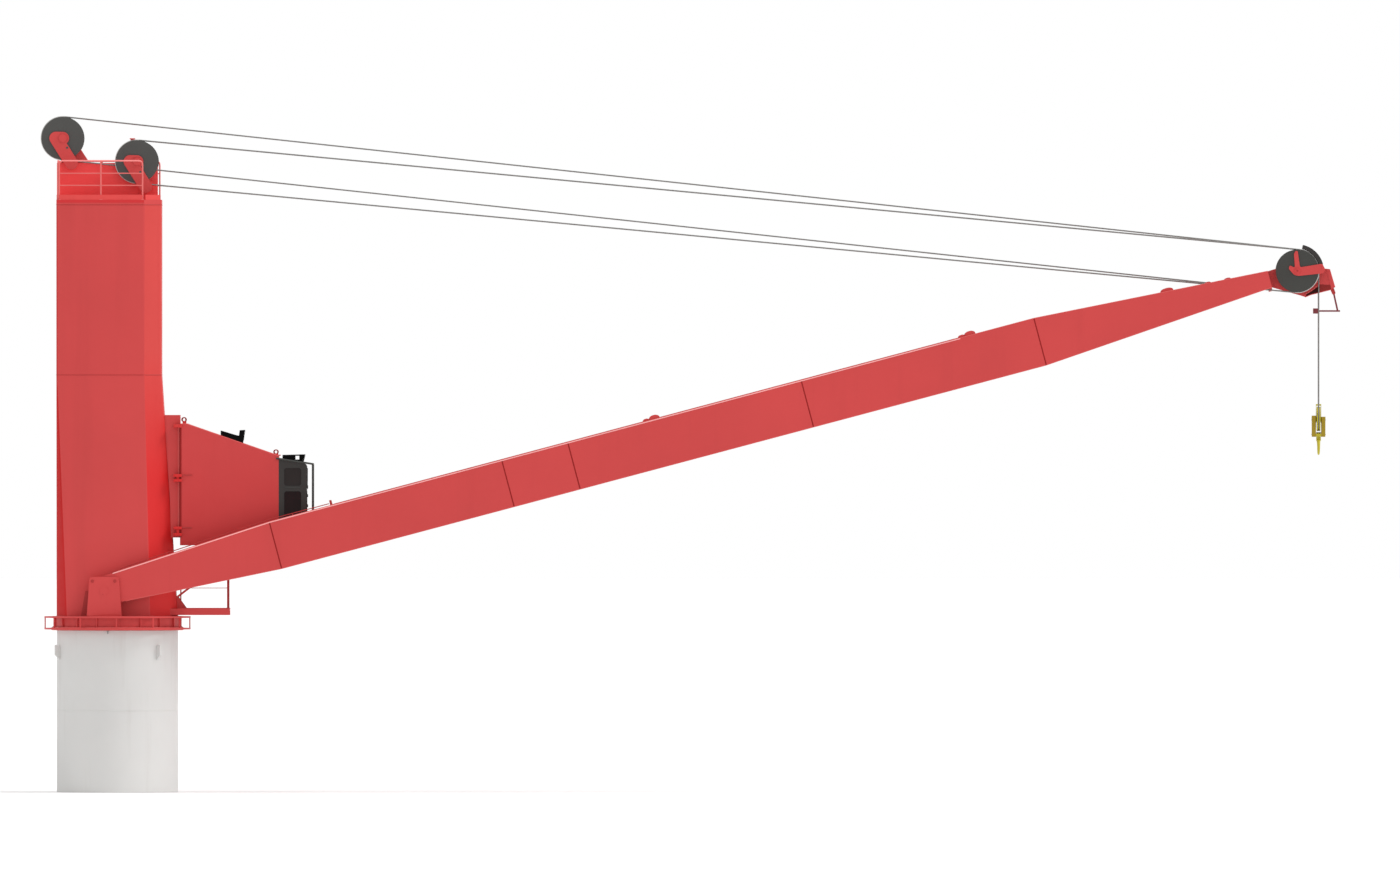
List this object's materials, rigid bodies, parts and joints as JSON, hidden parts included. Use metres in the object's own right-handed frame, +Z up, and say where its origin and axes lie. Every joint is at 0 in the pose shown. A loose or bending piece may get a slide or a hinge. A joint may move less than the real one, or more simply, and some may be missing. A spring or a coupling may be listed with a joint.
{
  "type": "marine deck crane",
  "caption": "Wire-luffing marine deck crane: slewing house on a tubular pedestal, twin-leg jib, roof sheaves, operator cab and a hook block.",
  "frame": {"origin": "centre of the pedestal's bottom face", "axes": "+Z up along the slewing axis, +X along the jib at rest, +Y to the jib's left"},
  "size_m": [32.1545, 3.6196, 16.728],
  "materials": {
    "pedestal_paint": "satin primer grey",
    "red_paint": "satin red coating",
    "sheave_paint": "dark grey",
    "wire_steel": "galvanised strand",
    "pin_steel": "turned",
    "hook_yellow": "worn yellow",
    "cab_black": "satin black",
    "cab_glass": "dark tint"
  },
  "bodies": {
    "pedestal": {"pedestal": "pedestal_paint", "pedestal_lugs": "pedestal_paint"},
    "house": {"base_ring": "red_paint", "ring_gussets": "red_paint", "guard_hoop": "red_paint", "lower_house": "red_paint", "upper_house": "red_paint", "roof_deck": "red_paint", "left_roof_railing": "red_paint", "right_roof_railing": "red_paint", "sheave_foundation": "red_paint", "rear_sheave_arms": "red_paint", "front_sheave_arms": "red_paint", "foot_brackets": "red_paint", "foot_pins": "pin_steel", "cab_mount": "red_paint", "cab_side_walls": "red_paint", "cab_roof": "red_paint", "cab_floor": "red_paint", "cab_rear_wall": "red_paint", "cab_front_frame": "cab_black", "cab_windows": "cab_glass", "cab_guard_rail": "cab_black", "service_platform": "red_paint", "platform_railing": "red_paint", "house_wire_wraps": "wire_steel", "hoist_wires": "wire_steel", "luffing_wires": "wire_steel"},
    "jib": {"left_jib_leg": "red_paint", "right_jib_leg": "red_paint", "main_cross_beam": "red_paint", "upper_cross_beams": "red_paint", "end_cross_beam": "red_paint", "rope_rests": "red_paint", "head_plates": "red_paint", "head_nose": "red_paint", "head_guard_plates": "red_paint", "rope_guards": "cab_black", "head_shaft": "pin_steel", "wire_sockets": "red_paint", "lever_lugs": "red_paint", "head_wire_wraps": "wire_steel"},
    "rear_sheaves": {"rear_sheaves": "sheave_paint"},
    "front_sheaves": {"front_sheaves": "sheave_paint"},
    "head_hoist_sheaves": {"head_hoist_sheaves": "sheave_paint"},
    "head_luffing_sheaves": {"head_luffing_sheaves": "sheave_paint"},
    "limit_lever": {"limit_lever": "red_paint"},
    "falls": {"hoist_falls": "wire_steel"},
    "hook_block": {"block_cheeks": "hook_yellow", "block_strap": "hook_yellow", "block_crosshead": "hook_yellow", "block_wire_wrap": "wire_steel"},
    "block_sheave": {"block_sheave": "sheave_paint"},
    "hook": {"hook": "hook_yellow"}
  },
  "joints": [
    {"name": "slew", "type": "hinge", "parent": "pedestal", "child": "house", "pos_m": [0, 0, 4], "axis": [0, 0, 1], "continuous": true},
    {"name": "luff", "type": "hinge", "parent": "house", "child": "jib", "pos_m": [-0.309, 0, 4.987], "axis": [0, -1, 0], "range_deg": [-14.9, 62], "deforming": ["hoist_wires", "luffing_wires"]},
    {"name": "rear_sheaves_turn", "type": "hinge", "parent": "house", "child": "rear_sheaves", "pos_m": [-1.349, 0, 16.18], "axis": [0, 1, 0], "continuous": true},
    {"name": "front_sheaves_turn", "type": "hinge", "parent": "house", "child": "front_sheaves", "pos_m": [0.49, 0, 15.6], "axis": [0, 1, 0], "continuous": true},
    {"name": "head_hoist_sheaves_turn", "type": "hinge", "parent": "jib", "child": "head_hoist_sheaves", "pos_m": [29.19359, 0, 12.89498], "axis": [0, 1, 0], "continuous": true},
    {"name": "head_luffing_sheaves_turn", "type": "hinge", "parent": "jib", "child": "head_luffing_sheaves", "pos_m": [29.19359, 0, 12.89498], "axis": [0, 1, 0], "continuous": true},
    {"name": "lever_lift", "type": "hinge", "parent": "jib", "child": "limit_lever", "pos_m": [30.09859, 0, 12.35498], "axis": [0, 1, 0], "range_deg": [0, 12]},
    {"name": "falls_hang", "type": "hinge", "parent": "jib", "child": "falls", "pos_m": [29.19359, 0, 12.89498], "axis": [0, -1, 0], "range_deg": [-62, 14.9]},
    {"name": "hoist", "type": "slide", "parent": "falls", "child": "hook_block", "axis": [0, 0, 1], "range_m": [-8.2, 1.8], "deforming": ["hoist_falls"]},
    {"name": "block_sheave_turn", "type": "hinge", "parent": "hook_block", "child": "block_sheave", "pos_m": [29.72559, 0, 9.22998], "axis": [1, 0, 0], "continuous": true},
    {"name": "hook_swivel", "type": "hinge", "parent": "hook_block", "child": "hook", "pos_m": [29.72559, 0, 8.72998], "axis": [0, 0, 1], "continuous": true}
  ],
  "couplings": [
    {"joint": "falls_hang", "follows": "luff", "ratio": -1}
  ]
}
